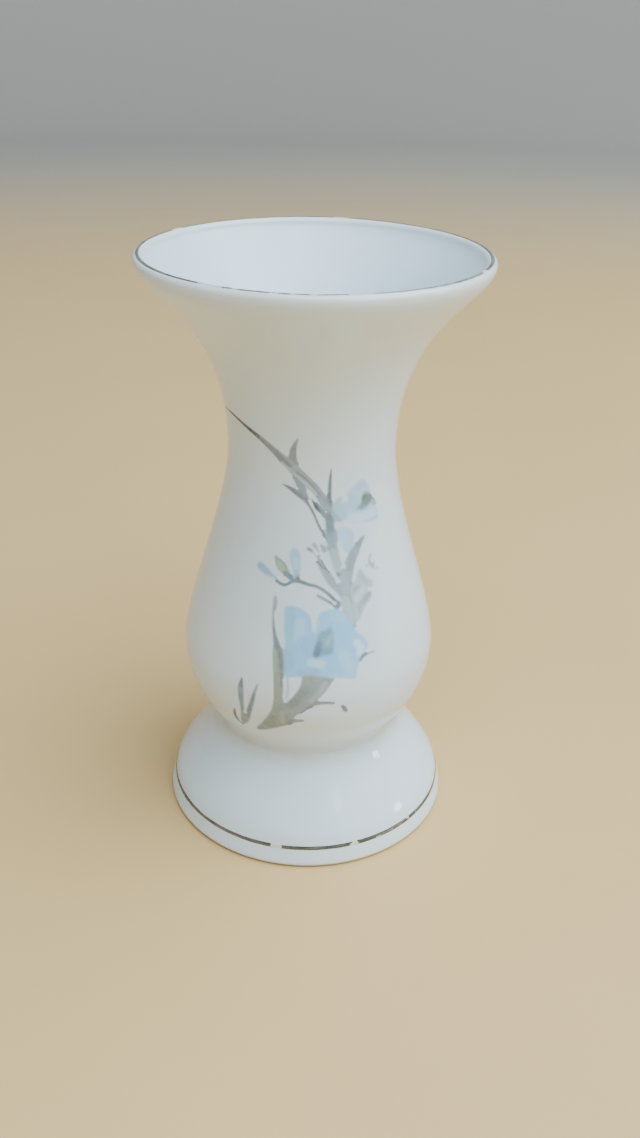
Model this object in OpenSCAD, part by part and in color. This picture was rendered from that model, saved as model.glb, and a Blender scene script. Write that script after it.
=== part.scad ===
// Flower vase in glazed porcelain: a trumpet mouth and a narrow neck on a pear-shaped belly,
// which stands on a flared foot. A metal line runs round the rim and another round the foot.
// A spray of blue flowers is fired on to the front in thin films of enamel.
//
// The vase stands on z = 0 and its axis is the z axis. The flowers face -y.

/* [Mouth] */
// Height of the whole vase, with the metal line on its rim
height = 175; // [150:1:220]
// Diameter of the mouth at its widest
rim_d = 96; // [80:1:120]
// Share of the rise from neck to rim that stays slim before the mouth flares
neck_rise = 0.71; // [0.3:0.01:0.85]
// Share of the same rise that turns upright at the rim
rim_curl = 0.14; // [0.05:0.01:0.3]

/* [Neck] */
// Diameter of the neck at its narrowest
neck_d = 48.4; // [38:0.2:60]
// Height of the narrowest place
neck_h = 121.5; // [100:0.5:130]
// Share of the rise from belly to neck that is nearly upright below the neck
neck_drop = 0.3; // [0.1:0.01:0.5]

/* [Belly] */
// Diameter of the belly at its widest
belly_d = 77.2; // [64:0.2:94]
// Height of the widest place
belly_h = 57; // [50:0.5:70]
// Share of the rise from belly to neck that is nearly upright above the belly
belly_rise = 0.21; // [0.1:0.01:0.5]
// Share of the rise from waist to belly that is nearly upright below the belly
belly_drop = 0.6; // [0.3:0.01:0.7]

/* [Waist] */
// Diameter of the crease where the vessel sits on its foot
waist_d = 59.6; // [48:0.2:66]
// Height of that crease
waist_h = 31.5; // [25:0.5:40]
// Share of the rise from waist to belly that is nearly upright above the crease
waist_rise = 0.19; // [0.1:0.01:0.4]

/* [Foot] */
// Diameter of the foot where it is widest, just above the table
foot_d = 90; // [75:0.5:110]
// Diameter at the top of the foot's steep edge
edge_d = 86; // [72:0.5:106]
// Height of that steep edge
edge_h = 8.5; // [6:0.5:12]
// Radius of the edge where the foot meets the table
edge_round = 1.5; // [0.8:0.1:2.5]
// Share of the foot's rise that turns in above the steep edge
shoulder_rise = 0.24; // [0.1:0.01:0.5]
// Share of the foot's rise that turns upright under the crease
waist_fall = 0.24; // [0.1:0.01:0.5]
// Width of the flat ring that the vase stands on
ring_w = 3.5; // [2.5:0.1:5]

/* [Walls] */
// Thickness of the vessel's wall, which also gives the rim its full round
wall = 3; // [2.4:0.1:4.5]
// Thickness of the vessel's floor
floor_t = 4.5; // [3:0.1:7]
// Radius inside, between the floor and the wall
floor_round = 8; // [4:0.5:12]
// Thickness of the foot's wall
foot_wall = 3.5; // [2.5:0.1:4.5]

/* [Metal lines] */
// Width of the line on the rim
rim_line_w = 1; // [0.6:0.1:1.6]
// Width of the line on the foot
foot_line_w = 1.2; // [0.6:0.1:1.6]
// Distance from the top of the foot's steep edge down to the middle of its line
foot_line_drop = 2; // [1:0.1:3]
// Thickness of both lines
line_t = 0.1; // [0.05:0.01:0.2]

/* [Flowers] */
// Thickness of the enamel
enamel_t = 0.1; // [0.05:0.01:0.2]
// Height of the lowest leaf above the crease
spray_lift = 10.5; // [6:0.5:16]
// Turn of the whole spray round the vase, in degrees towards +x
spray_turn = 0; // [-180:5:180]

/* [Hidden] */
$fn = 96;

porcelain = "#e4eaee";
platinum = "#b4b6b2";
leaf_grey = "#868e88";
leaf_olive = "#7d8466";
twig_grey = "#a2a8aa";
petal_blue = "#a9cfe4";
petal_pale = "#c3dbe8";
throat_slate = "#4f7890";

// Places on the outline, as [radius, height]
edge_top = [edge_d / 2, edge_h];
waist = [waist_d / 2, waist_h];
belly = [belly_d / 2, belly_h];
neck = [neck_d / 2, neck_h];
rim = [rim_d / 2, height - line_t - wall / 2];
lip_centre = rim - [wall / 2, 0];

// Centre of the round edge where the foot meets the table
round_centre = [foot_d / 2 - edge_round, edge_round];
// Lean of the foot's steep edge, in degrees from upright: it runs on from the round edge
edge_rise = edge_top - round_centre;
edge_lean = atan2(edge_rise.y, edge_rise.x) - acos(edge_round / norm(edge_rise));
up = [0, 1];

// ---- Curves ----

// Cubic curve from a to d, with handles b and c, in n steps
function cubic(a, b, c, d, n) = [
    for (i = [0:n])
        let (t = i / n, s = 1 - t)
        s * s * s * a + 3 * s * s * t * b + 3 * s * t * t * c + t * t * t * d
];

// Outline from a up to b that is upright at both ends, for the given shares of the rise
function swell(a, b, low, high, n) =
    cubic(a, a + low * (b.y - a.y) * up, b - high * (b.y - a.y) * up, b, n);

// All points but the first
function rest(points) = [for (i = [1:len(points) - 1]) points[i]];

function reversed(points) = [for (i = [len(points) - 1:-1:0]) points[i]];

// Direction of a row of points at place i, with the directions of its two ends given
function heading(points, i, first, last) =
    i == 0 ? first : i == len(points) - 1 ? last : points[i + 1] - points[i - 1];

// Row of points moved towards the axis by t, square to its own direction
function inset(points, t, first, last) = [
    for (i = [0:len(points) - 1])
        let (d = heading(points, i, first, last))
        points[i] + t / norm(d) * [-d.y, d.x]
];

// Radius of an outline at a height
function radius_at(points, h) = lookup(h, [for (p = points) [p.y, p.x]]);

// ---- Outlines of the two ceramic pieces ----

outer = concat(
    swell(waist, belly, waist_rise, belly_drop, 12),
    rest(swell(belly, neck, belly_rise, neck_drop, 24)),
    rest(swell(neck, rim, neck_rise, rim_curl, 26))
);
inner = inset(outer, wall, up, up);

edge_dir = [-sin(edge_lean), cos(edge_lean)];
foot_rise = waist_h - edge_h;
foot_outer = cubic(
    edge_top, edge_top + shoulder_rise * foot_rise * edge_dir,
    waist - waist_fall * foot_rise * up, waist, 18
);
foot_inner = inset(foot_outer, foot_wall, edge_dir, up);

// ---- Ceramic ----

module vessel() {
    floor_top = waist_h + floor_t;
    bend_top = floor_top + floor_round;
    bend_r = radius_at(inner, bend_top);
    bend_centre = [bend_r - floor_round, bend_top];
    bend = [for (a = [0:-10:-90]) bend_centre + floor_round * [cos(a), sin(a)]];
    inside = [for (p = inner) if (p.y > bend_top) p];
    color(porcelain)
        rotate_extrude()
            union() {
                polygon(concat([[0, waist_h]], outer, reversed(inside), bend, [[0, floor_top]]));
                translate(lip_centre) circle(d = wall);
            }
}

module foot() {
    sole = [
        for (i = [0:8])
            let (a = -90 + i * (90 + edge_lean) / 8)
            round_centre + edge_round * [cos(a), sin(a)]
    ];
    ring_in = [foot_d / 2 - edge_round - ring_w, 0];
    color(porcelain)
        rotate_extrude()
            polygon(concat([ring_in], sole, foot_outer, reversed(foot_inner)));
}

// ---- Metal lines ----

module rim_line() {
    half_angle = rim_line_w / wall * 180 / PI;
    reach = wall;
    color(platinum)
        rotate_extrude()
            translate(lip_centre)
                intersection() {
                    difference() {
                        circle(d = wall + 2 * line_t);
                        circle(d = wall);
                    }
                    polygon([
                        [0, 0],
                        reach * [sin(half_angle), cos(half_angle)],
                        reach * [-sin(half_angle), cos(half_angle)],
                    ]);
                }
}

module foot_line() {
    out = line_t * [cos(edge_lean), sin(edge_lean)];
    middle = edge_top - foot_line_drop * edge_dir;
    low = middle - foot_line_w / 2 * edge_dir;
    high = middle + foot_line_w / 2 * edge_dir;
    color(platinum)
        rotate_extrude()
            polygon([low, low + out, high + out, high]);
}

// ---- Enamel ----
//
// A place on the front of the vessel is [angle, height]: degrees round the vase from -y
// towards +x, and millimetres above the lowest leaf. A place on a brush stroke has a third
// value, the stroke's width there in millimetres.

// Height on the vase of the lowest leaf
spray_h = waist_h + spray_lift;
// Angle that the outlines are cut from, near the middle of the spray
facing = -12;

// Smooth curve through b and c, with their neighbours a and d, at share t of the way
function between(a, b, c, d, t) =
    0.5 * (2 * b + t * (c - a) + t * t * (2 * a - 5 * b + 4 * c - d)
        + t * t * t * (3 * b - a - 3 * c + d));

// Smooth open curve through all the given places
function open_curve(p, steps = 4) = [
    for (i = [0:len(p) - 2])
        for (j = [0:steps - 1])
            between(p[max(i - 1, 0)], p[i], p[i + 1], p[min(i + 2, len(p) - 1)], j / steps),
    p[len(p) - 1],
];

// Smooth closed curve through all the given places
function closed_curve(p, steps = 3) =
    let (n = len(p))
    [
        for (i = [0:n - 1])
            for (j = [0:steps - 1])
                between(p[(i + n - 1) % n], p[i], p[(i + 1) % n], p[(i + 2) % n], j / steps)
    ];

// Millimetres in one degree round the vessel, at a height above the lowest leaf
function mm_per_degree(h) = radius_at(outer, spray_h + h) * PI / 180;

// Places along one side of a stroke: side is 1 for its left and -1 for its right
function stroke_side(p, side) = [
    for (i = [0:len(p) - 1])
        let (
            scale = mm_per_degree(p[i].y),
            step = p[min(i + 1, len(p) - 1)] - p[max(i - 1, 0)],
            d = [step.x * scale, step.y],
            half = side * p[i].z / 2 / norm(d)
        )
        [p[i].x - half * d.y / scale, p[i].y + half * d.x]
];

// Outline of a stroke through the given places
function stroke(places) =
    let (p = open_curve(places))
    concat(stroke_side(p, 1), reversed(stroke_side(p, -1)));

// A place as seen square on from the facing angle
function seen(p) = [radius_at(outer, spray_h + p.y) * sin(p.x - facing), spray_h + p.y];

// Flat outlines of strokes and of washes, which are areas with a closed outline
module paint(strokes, washes) {
    for (s = strokes)
        polygon([for (p = stroke(s)) seen(p)]);
    for (w = washes)
        polygon([for (p = closed_curve(w)) seen(p)]);
}

// Skin on the vessel that covers all the given heights
module skin(heights) {
    low = spray_h + min(heights) - 4;
    high = spray_h + max(heights) + 4;
    band = [for (p = outer) if (p.y > low && p.y < high) p];
    rotate_extrude()
        polygon(concat(band, reversed([for (p = band) p + [enamel_t, 0]])));
}

// One area of enamel, less the areas given as children, which lie in front of it
module enamel(strokes, washes) {
    heights = [for (line = concat(strokes, washes)) for (p = line) p.y];
    rotate([0, 0, spray_turn])
        intersection() {
            skin(heights);
            rotate([90, 0, facing])
                linear_extrude(height = rim_d)
                    difference() {
                        paint(strokes, washes);
                        children();
                    }
        }
}

// Long narrow leaf that leans over to the left of the neck
long_leaf_strokes = [[
    [-74, 91.7, 0.3], [-60, 91.8, 0.8], [-45, 89.9, 1.1], [-30, 86.8, 1.8],
    [-15, 81.8, 2.7], [0, 76.2, 2.6], [7, 72.4, 2.3], [11, 69, 1.4],
]];

module long_leaf() {
    color(leaf_grey) enamel(long_leaf_strokes, []);
}

// Leaf that crosses behind the long one, two short leaves and the upright spike
upper_leaf_strokes = [
    [[-8.5, 89.6, 0.3], [-11.2, 86.5, 1.6], [-11.8, 84, 2.1], [-10.5, 80.5, 2.2],
     [-7, 76, 2], [-3.5, 72.8, 1.6], [1, 69, 0.7], [6, 64, 0.6], [11, 60.3, 0.5]],
    [[-18.8, 75.8, 0.3], [-14, 75, 0.9], [-9, 73.9, 1.7], [-5, 72.6, 1.6], [-2, 71, 0.8]],
    [[-0.5, 72.3, 0.5], [3, 70.4, 1.4], [7, 68.6, 1.3], [10, 66.8, 0.8]],
    [[12.8, 80.8, 0.3], [12.2, 77, 0.9], [11.9, 73, 1.1], [11.7, 68, 1.5]],
];

module upper_leaves() {
    color(leaf_grey)
        enamel(upper_leaf_strokes, [])
            paint(concat(long_leaf_strokes, upper_stem_strokes), []);
}

// Upper stem, with a leaf on each side
upper_stem_strokes = [
    [[10.5, 68.4, 1.2], [11.6, 66, 2.4], [12.4, 62, 2.9], [13.2, 58.5, 2.7], [14.8, 55, 2.6],
     [16.6, 52, 2.5], [18.2, 49, 2.6], [19, 45, 3.2], [20, 41.5, 3.2], [21.4, 38, 2],
     [22.4, 36, 0.8]],
    [[4.2, 55, 0.5], [8, 52.3, 1.8], [12, 49.3, 2.4], [16, 46.8, 2.2], [18, 44.5, 1.5]],
    [[34, 60.2, 0.6], [31, 59.3, 1.4], [27.5, 57, 2.4], [23.5, 54.5, 3.1], [21.5, 51.5, 3.1],
     [20, 48, 2.6], [19, 45, 2]],
];

module upper_stem() {
    color(leaf_grey)
        enamel(upper_stem_strokes, []) {
            paint(long_leaf_strokes, []);
            paint([], main_petal_washes);
        }
}

// Upper bloom, seen from the side: its petals and its dark throat
upper_petal_washes = [
    [[13.2, 68.3], [14.6, 71], [17, 72.2], [20, 72.5], [22, 71.4], [22.4, 68], [21.4, 65.3],
     [17.5, 65], [14.8, 66.2]],
    [[22, 68], [22.4, 72], [24.6, 74], [29.5, 75.2], [35, 76.5], [39.4, 75], [41.6, 72.4],
     [42, 69.5], [45.6, 67], [46.4, 63.8], [38, 63.8], [30, 64.1], [22.4, 64.8]],
    [[17.4, 64.2], [22, 64], [26.6, 62.5], [27, 59.8], [24.4, 57.4], [20.8, 56.8], [18.2, 59],
     [17, 61.5]],
];
upper_throat_washes = [[
    [29.6, 68.2], [33.2, 69.4], [34.4, 71.3], [36.5, 72.6], [40, 72], [43, 70.6],
    [46, 68.4], [43.5, 67.9], [41, 68.8], [38, 68], [34, 67.6],
]];

module upper_petals() {
    color(petal_pale)
        enamel([], upper_petal_washes) {
            paint([], upper_throat_washes);
            paint(concat(upper_stem_strokes, upper_leaf_strokes), []);
        }
}

module upper_throat() {
    color(leaf_olive) enamel([], upper_throat_washes);
}

// Stem of the three buds on the left, with their calyxes
bud_stem_strokes = [
    [[15.4, 42.6, 0.9], [12.5, 44.6, 1], [8.5, 46.7, 0.9], [4, 48.2, 0.8], [0, 48.7, 0.9],
     [-3, 49.2, 1], [-6, 49.6, 1.1], [-9, 49.4, 1], [-11.5, 48.5, 0.8], [-14, 48.2, 0.9],
     [-18, 49.1, 0.5]],
    [[4, 45.9, 0.7], [8, 44.6, 0.8], [12, 43.2, 0.7], [15, 42.1, 0.9]],
    [[-8.5, 49.5, 0.8], [-11.2, 50.8, 1.4], [-13.8, 51.4, 0.9]],
    [[-6, 49.6, 0.8], [-6.6, 50.9, 1.2]],
];
blue_bud_strokes = [
    [[-6.7, 50.6, 1.4], [-7.2, 53, 2.4], [-8.1, 56, 3.1], [-8.6, 57.7, 2.3], [-8.9, 58.5, 0.9]],
    [[-29.6, 52.7, 1], [-28, 52.2, 2.1], [-25, 51.4, 2.3], [-21, 50.4, 1.5], [-17.5, 49.6, 0.8]],
];
green_bud_strokes = [[
    [-19.8, 55.8, 0.3], [-18, 54.5, 1.8], [-15.5, 53.2, 2.8], [-12.8, 51.9, 2], [-11, 50.8, 0.8],
]];

module bud_stem() {
    color(leaf_grey) enamel(bud_stem_strokes, []) paint(upper_stem_strokes, []);
}

module blue_buds() {
    color(petal_blue) enamel(blue_bud_strokes, []) paint(bud_stem_strokes, []);
}

module green_bud() {
    color(leaf_olive) enamel(green_bud_strokes, []) paint(bud_stem_strokes, []);
}

// Fine twigs with the smallest buds, left and right of the upper stem
left_twig_strokes = [
    [[-1.6, 58.6, 0.9], [0, 58.3, 1], [2.5, 57.5, 0.6], [5, 55.8, 0.5], [7.5, 54, 0.5],
     [10, 52.2, 0.4]],
    [[1.6, 60, 1], [3, 59.2, 1.1], [4.6, 57.4, 0.7], [5.4, 56, 0.5]],
    [[6.2, 59.6, 0.8], [7.6, 58.6, 1.1], [8.4, 57.4, 0.6]],
];
right_twig_strokes = [
    [[37.4, 55, 0.6], [35.6, 53.9, 0.8], [35.2, 52.5, 1], [37.5, 51.3, 1.1], [40.4, 50.4, 0.7]],
    [[32.4, 51.6, 0.5], [34.4, 52.3, 0.6], [37, 52.3, 0.6], [39.4, 51.6, 0.5]],
];
right_twig_washes = [
    [[22.6, 46.2], [25.4, 49.2], [28, 51.6], [30.4, 50.8], [32.4, 48.8], [35.4, 47.6],
     [34.6, 46], [31.6, 45.6], [33.6, 44.8], [33.4, 43], [31, 42], [28.4, 40.6], [26.6, 39],
     [24, 37.4], [22.4, 40]],
];

module left_twigs() {
    color(twig_grey) enamel(left_twig_strokes, []) paint(upper_stem_strokes, []);
}

module right_twigs() {
    color(twig_grey)
        enamel(right_twig_strokes, right_twig_washes) {
            paint(upper_stem_strokes, []);
            paint([], main_petal_washes);
        }
}

// Main bloom, open towards the front: its petals and its dark throat
main_petal_washes = [
    [[-12.2, 42.2], [-8, 42.8], [-3.5, 42.2], [0, 40.8], [1.7, 39.4], [2.7, 38.2], [3.6, 39.4],
     [5.5, 40.9], [9.5, 41.8], [14, 41.7], [17.8, 40.2], [20.4, 37.6], [23, 35], [26.4, 33.2],
     [28.7, 30.6], [27, 28.8], [24, 28], [23.5, 26.4], [22.3, 23.8], [21, 21.2], [16, 21.9],
     [10, 22.4], [5, 23.2], [0, 23.4], [-6, 22.6], [-9.8, 23], [-10.4, 27], [-11, 33],
     [-11.9, 38]],
];
main_throat_washes = [[
    [2, 29.2], [3.4, 28.4], [6, 28.8], [10, 29.2], [11.6, 30.6], [11.9, 34], [10.6, 37],
    [8, 36.2], [5, 35.6], [3.6, 33], [2.4, 31],
]];

module main_petals() {
    color(petal_blue) enamel([], main_petal_washes) paint([], main_throat_washes);
}

module main_throat() {
    color(throat_slate) enamel([], main_throat_washes);
}

// Tall leaf at the left of the main bloom, and the pale stroke beside it
tall_leaf_strokes = [
    [[-17.4, 44.9, 0.6], [-17.1, 43.6, 1.3], [-17.1, 42, 1.2], [-17.5, 40, 0.6],
     [-17, 37.5, 0.9], [-16, 34.5, 1.1], [-14.7, 32, 1.8], [-13.8, 29.5, 2.9],
     [-13.1, 26, 3.3], [-12.5, 22, 3.2], [-12.3, 18, 2.9], [-12.4, 13, 2.8]],
    [[-9.4, 22.6, 0.6], [-8.7, 20.8, 0.9], [-8.5, 18, 0.9], [-9, 16, 0.6]],
];
lower_stem_washes = [[
    [-24.8, 1], [-21.3, 4.4], [-17.8, 8], [-15.6, 11], [-14.6, 13.4], [-12.2, 14.6],
    [-9.8, 14], [-7.4, 15.6], [-5, 17.8], [-2.8, 20.6], [-2.2, 23.2], [0, 24.4], [5, 24.2],
    [11.4, 23.2], [9.8, 20.4], [7, 17.8], [3.6, 15.4], [0.4, 13.2], [-3.4, 10.8], [-6, 8.6],
    [-8.6, 6], [-12, 4.4], [-16, 3], [-19.6, 1.5], [-23.2, 0.5],
]];

module tall_leaf() {
    color(leaf_olive)
        enamel(tall_leaf_strokes, []) {
            paint([], lower_stem_washes);
            paint([], main_petal_washes);
        }
}

// Thick stem under the main bloom, which runs down into a broad leaf on the ground
module lower_stem() {
    color(leaf_olive) enamel([], lower_stem_washes) paint([], main_petal_washes);
}

// Tendrils to the right of the thick stem and of the main bloom
tendril_strokes = [
    [[-3.5, 11.4, 1.6], [-1, 12.9, 1.5], [1.6, 14, 1.4], [4.6, 14.6, 1.2], [8, 14.7, 1],
     [11.8, 14.3, 0.8]],
    [[14.9, 13.3, 0.7], [16.1, 12.1, 1.4], [16.9, 11.1, 1.1], [17.3, 10.5, 0.6]],
    [[-9, 6.2, 1.3], [-6.4, 7.4, 1.3], [-4, 7.9, 1.1], [-1.2, 8.1, 0.9]],
    [[23.4, 26.2, 0.5], [25, 27.2, 0.9], [28, 27.8, 0.6], [31.8, 27.7, 0.4]],
];

module tendrils() {
    color(leaf_olive)
        enamel(tendril_strokes, []) {
            paint([], lower_stem_washes);
            paint([], main_petal_washes);
        }
}

// Three blades of grass at the left, near the ground
ground_leaf_strokes = [
    [[-29.5, 19.6, 0.4], [-30, 16.5, 1.9], [-30, 13, 1.9], [-29.8, 9, 1.4], [-30.3, 5, 1.7],
     [-31.9, 1.6, 1.4], [-33.2, 0, 0.5]],
    [[-21.7, 19, 0.4], [-23.3, 15.5, 1.1], [-24.9, 11.5, 1.5], [-26.6, 8, 1.7],
     [-28.8, 4.5, 1.9], [-31.4, 1.4, 1.2]],
    [[-34.2, 7.3, 0.4], [-35.2, 5, 1.2], [-35.2, 3, 1.3], [-34, 1.2, 1.2], [-33, 0.2, 0.5]],
];

module ground_leaves() {
    color(leaf_grey) enamel(ground_leaf_strokes, []);
}

vessel();
foot();
rim_line();
foot_line();
long_leaf();
upper_leaves();
upper_stem();
upper_petals();
upper_throat();
bud_stem();
blue_buds();
green_bud();
left_twigs();
right_twigs();
main_petals();
main_throat();
tall_leaf();
lower_stem();
tendrils();
ground_leaves();
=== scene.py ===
import math

import bpy
import numpy as np
from mathutils import Matrix, Vector, geometry, kdtree


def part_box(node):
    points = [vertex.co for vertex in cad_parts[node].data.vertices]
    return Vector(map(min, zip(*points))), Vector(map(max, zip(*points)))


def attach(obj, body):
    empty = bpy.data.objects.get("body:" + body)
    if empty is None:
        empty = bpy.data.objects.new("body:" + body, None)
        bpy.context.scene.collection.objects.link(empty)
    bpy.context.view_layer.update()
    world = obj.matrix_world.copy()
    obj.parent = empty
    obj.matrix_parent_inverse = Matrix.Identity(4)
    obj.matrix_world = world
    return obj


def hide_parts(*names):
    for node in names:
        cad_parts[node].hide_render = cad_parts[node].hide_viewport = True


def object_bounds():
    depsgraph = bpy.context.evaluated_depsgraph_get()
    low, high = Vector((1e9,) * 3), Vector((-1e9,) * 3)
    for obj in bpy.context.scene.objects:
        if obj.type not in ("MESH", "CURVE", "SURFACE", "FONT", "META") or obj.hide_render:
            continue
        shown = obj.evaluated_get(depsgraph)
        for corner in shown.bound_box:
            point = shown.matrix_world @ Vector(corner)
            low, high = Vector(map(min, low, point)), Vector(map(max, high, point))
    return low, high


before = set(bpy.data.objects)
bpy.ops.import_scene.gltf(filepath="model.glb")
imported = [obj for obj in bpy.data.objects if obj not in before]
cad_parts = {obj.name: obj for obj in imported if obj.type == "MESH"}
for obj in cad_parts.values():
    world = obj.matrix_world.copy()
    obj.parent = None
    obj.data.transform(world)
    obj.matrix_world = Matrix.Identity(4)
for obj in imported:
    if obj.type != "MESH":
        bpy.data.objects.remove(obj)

MM = 0.001
CAD_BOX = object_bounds()
BODY = "root"

# ---- Colours, linear ----

FLOOR = (0.78, 0.51, 0.22)
BACKDROP = (0.48, 0.45, 0.41)
GLAZE = (0.74, 0.85, 0.945)
GLAZE_POOL_SHADE = (0.48, 0.56, 0.61)    # where it has pooled, and painted shade in the crease and at the bottom inside
GLAZE_THIN = (0.84, 0.82, 0.79)    # where it runs thin over an edge
BISCUIT_CONTACT_SHADOW = (0.22, 0.20, 0.18)       # the unglazed ring, painted dark as the contact shadow under the foot
WORN_AND_REFLECTION = (0.72, 0.70, 0.64)          # the glaze where the metal lines are rubbed away, and where their gaps stand in as painted reflections
# Darkest and lightest streaks of the metal lines; the foot line's are darkened and tinted slate as a
# painted reflection of dark surroundings
RIM_METAL = ((0.36, 0.37, 0.36), (0.62, 0.64, 0.61))
FOOT_METAL_AND_DARK_REFLECTION = ((0.10, 0.13, 0.17), (0.27, 0.33, 0.40))

# ---- Measures that the looks add to the CAD model, in metres ----

SEGMENTS = 256               # round the ceramic
OUTSIDE_STEP = 0.75 * MM     # between rings outside
INSIDE_STEP = 1.6 * MM       # between rings inside
SHORTEST_STEP = 0.15 * MM    # between rings where the outline bends most
CURVE_SHARE = 0.13           # a step is never longer than this share of the bend's radius
UNDER_RINGS = 4              # across the hidden underside of the vessel
SHARP = math.radians(40)     # edges that turn more than this are shaded sharp
RING_EDGE = 0.4 * MM         # softened inner edge of the ring that the vase stands on
WOBBLE = 0.10 * MM           # how far the cast wall strays from a true circle
WOBBLE_START = 12 * MM       # height over which it grows to that, from nothing at the table

CREASE_POOL_SHADE = 6 * MM         # how far the glaze has pooled, with painted shade, on both sides of the crease
BOTTOM_POOL_SHADE = 12 * MM        # height over which it has pooled, with painted shade, inside the vessel
THIN = 3 * MM                # how far it is thin below the lip and round the foot's edge
FOOT_EDGE = 0.5 * MM         # height at which the foot's edge stands out most
BARE_SHADOW_OUTSIDE = 1.7 * MM      # height that the bare ring and its painted contact shadow reach outside the foot
BARE_SHADOW_INSIDE = 2 * MM         # and inside it

FILM = 0.025 * MM            # thickness of the enamel away from its edges
FILM_EDGE = 0.01 * MM        # thickness at its edges
FILM_SLOPE = 0.8 * MM        # width over which it thins out
FILM_GRID = 0.24 * MM        # between its vertices
FILM_ROW = 0.866 * FILM_GRID       # between its rows of vertices
FILM_BORDER = 0.8 * FILM_GRID      # between the vertices of its outline
FILM_CLEAR = 0.55 * FILM_GRID      # least distance from the outline to other vertices
SLIVER = 1e-4 * MM * MM      # a smaller triangle is left out
CLOSE = 0.9 * MM             # outlines closer than this don't fade: their films run together
OUTSET = 0.5 * MM            # most that a bare edge reaches past its outline as it fades out
GAP_SHARE = 0.45             # share of the gap to the next film that it reaches at most
BLEED = 0.5 * MM             # how far neighbouring colours run into each other

RIM_LINE = 1.0 * MM          # width of the line on the rim
LINE_EDGE = 0.008 * MM       # thickness of the metal lines at their edges
LINE_CROWN = 0.06 * MM       # how much thicker they are in their middle
LINE_SINK = 0.03 * MM        # depth of their hidden backs under the glaze
LINE_ROWS = 9                # vertices across a line
LINE_TURNS = 512             # vertices round it
LINE_STRAY = 0.12            # share of its width that a line's edge strays
# Rubbed arcs of the lines: middle and half width in degrees, and how thoroughly rubbed. The foot line's
# arcs at -12 and 21 degrees and the wide arc at the front of the rim are painted reflections; the others
# are wear.
RIM_GAPS = [[-4, 62, 0.55], [12, 9, 0.6], [-31, 5, 0.6], [64, 4, 1], [171, 6, 1], [238, 4, 1]]
FOOT_GAPS = [[-12, 5, 1], [21, 3.5, 1], [44, 30, 0.4], [118, 4, 1], [205, 5, 1]]

# ---- How finely the CAD nodes are read ----

WELD = 0.001                 # corners that are one to this many millimetres are joined
ROUNDING = 0.01              # of the outline's corners, in millimetres
APART = 0.05 * MM            # least distance between them
FACING = 0.02                # an outer (inner) face's normal points out (in) by more than this
SAMPLES = 6000               # along a smooth outline
AVERAGE = 41                 # of them that a bend is averaged over


# ---- Outline of the ceramic, read from the CAD nodes ----

def corners(node):
    """The places of a node's vertices, and its triangles, with vertices in one place joined."""
    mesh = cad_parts[node].data
    places = np.array([v.co for v in mesh.vertices], float)
    mesh.calc_loop_triangles()
    triangles = np.array([t.vertices for t in mesh.loop_triangles])
    rounded, index = np.unique(np.round(places / (WELD * MM)), axis=0, return_inverse=True)
    triangles = index.reshape(-1)[triangles]
    whole = (np.ptp(np.sort(triangles, 1), 1) > 0) & (np.diff(np.sort(triangles, 1), 1).min(1) > 0)
    return rounded * WELD * MM, triangles[whole]


def meridian(node, side):
    """[radius, height] of the corners on a node's outer (side 1) or inner (side -1) face,
    from the lowest up."""
    places, triangles = corners(node)
    a, b, c = (places[triangles[:, i]] for i in range(3))
    normal = np.cross(b - a, c - a)
    normal /= np.linalg.norm(normal, axis=1)[:, None] + 1e-12
    middle = (a + b + c) / 3
    out = middle[:, :2] / (np.linalg.norm(middle[:, :2], axis=1)[:, None] + 1e-12)
    chosen = triangles[(normal[:, :2] * out).sum(1) * side > FACING]
    points = places[np.unique(chosen)]
    line = np.stack([np.linalg.norm(points[:, :2], axis=1), points[:, 2]], 1)
    line = np.unique(np.round(line / (ROUNDING * MM)), axis=0) * ROUNDING * MM
    line = line[np.argsort(line[:, 1], kind="stable")]
    kept = [line[0]]
    for p in line[1:]:
        if np.linalg.norm(p - kept[-1]) > APART:
            kept.append(p)
    return np.array(kept)


def spline(points):
    """Smooth curve through the points: its parameter at each point, and a function that gives
    places on it."""
    at = np.concatenate([[0], np.cumsum(np.linalg.norm(np.diff(points, axis=0), axis=1))])
    n, gap = len(points), np.diff(at)
    system, right = np.eye(n), np.zeros((n, 2))
    for i in range(1, n - 1):
        system[i, i - 1:i + 2] = gap[i - 1], 2 * (gap[i - 1] + gap[i]), gap[i]
        right[i] = 6 * ((points[i + 1] - points[i]) / gap[i] - (points[i] - points[i - 1]) / gap[i - 1])
    bend = np.linalg.solve(system, right)

    def place(s):
        i = np.clip(np.searchsorted(at, s) - 1, 0, n - 2)
        h, t = gap[i][:, None], (s - at[i])[:, None]
        u = h - t
        return (bend[i] * u ** 3 + bend[i + 1] * t ** 3) / (6 * h) + (
            points[i] / h - bend[i] * h / 6) * u + (points[i + 1] / h - bend[i + 1] * h / 6) * t

    return at, place


def rings_along(place, start, end, longest):
    """Parameters from start to end, closer together where the curve bends more."""
    s = np.linspace(start, end, SAMPLES)
    p = place(s)
    d = np.gradient(p, s, axis=0)
    turn = np.abs(np.gradient(np.unwrap(np.arctan2(d[:, 1], d[:, 0])), s))
    padded = np.pad(turn, AVERAGE // 2, mode="edge")
    turn = np.convolve(padded, np.ones(AVERAGE) / AVERAGE, mode="valid")
    step = np.clip(CURVE_SHARE / (turn + 1e-9), SHORTEST_STEP, longest)
    count = np.concatenate([[0], np.cumsum(np.diff(s) / step[1:])])
    return np.interp(np.linspace(0, count[-1], int(math.ceil(count[-1])) + 1), count, s)


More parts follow.
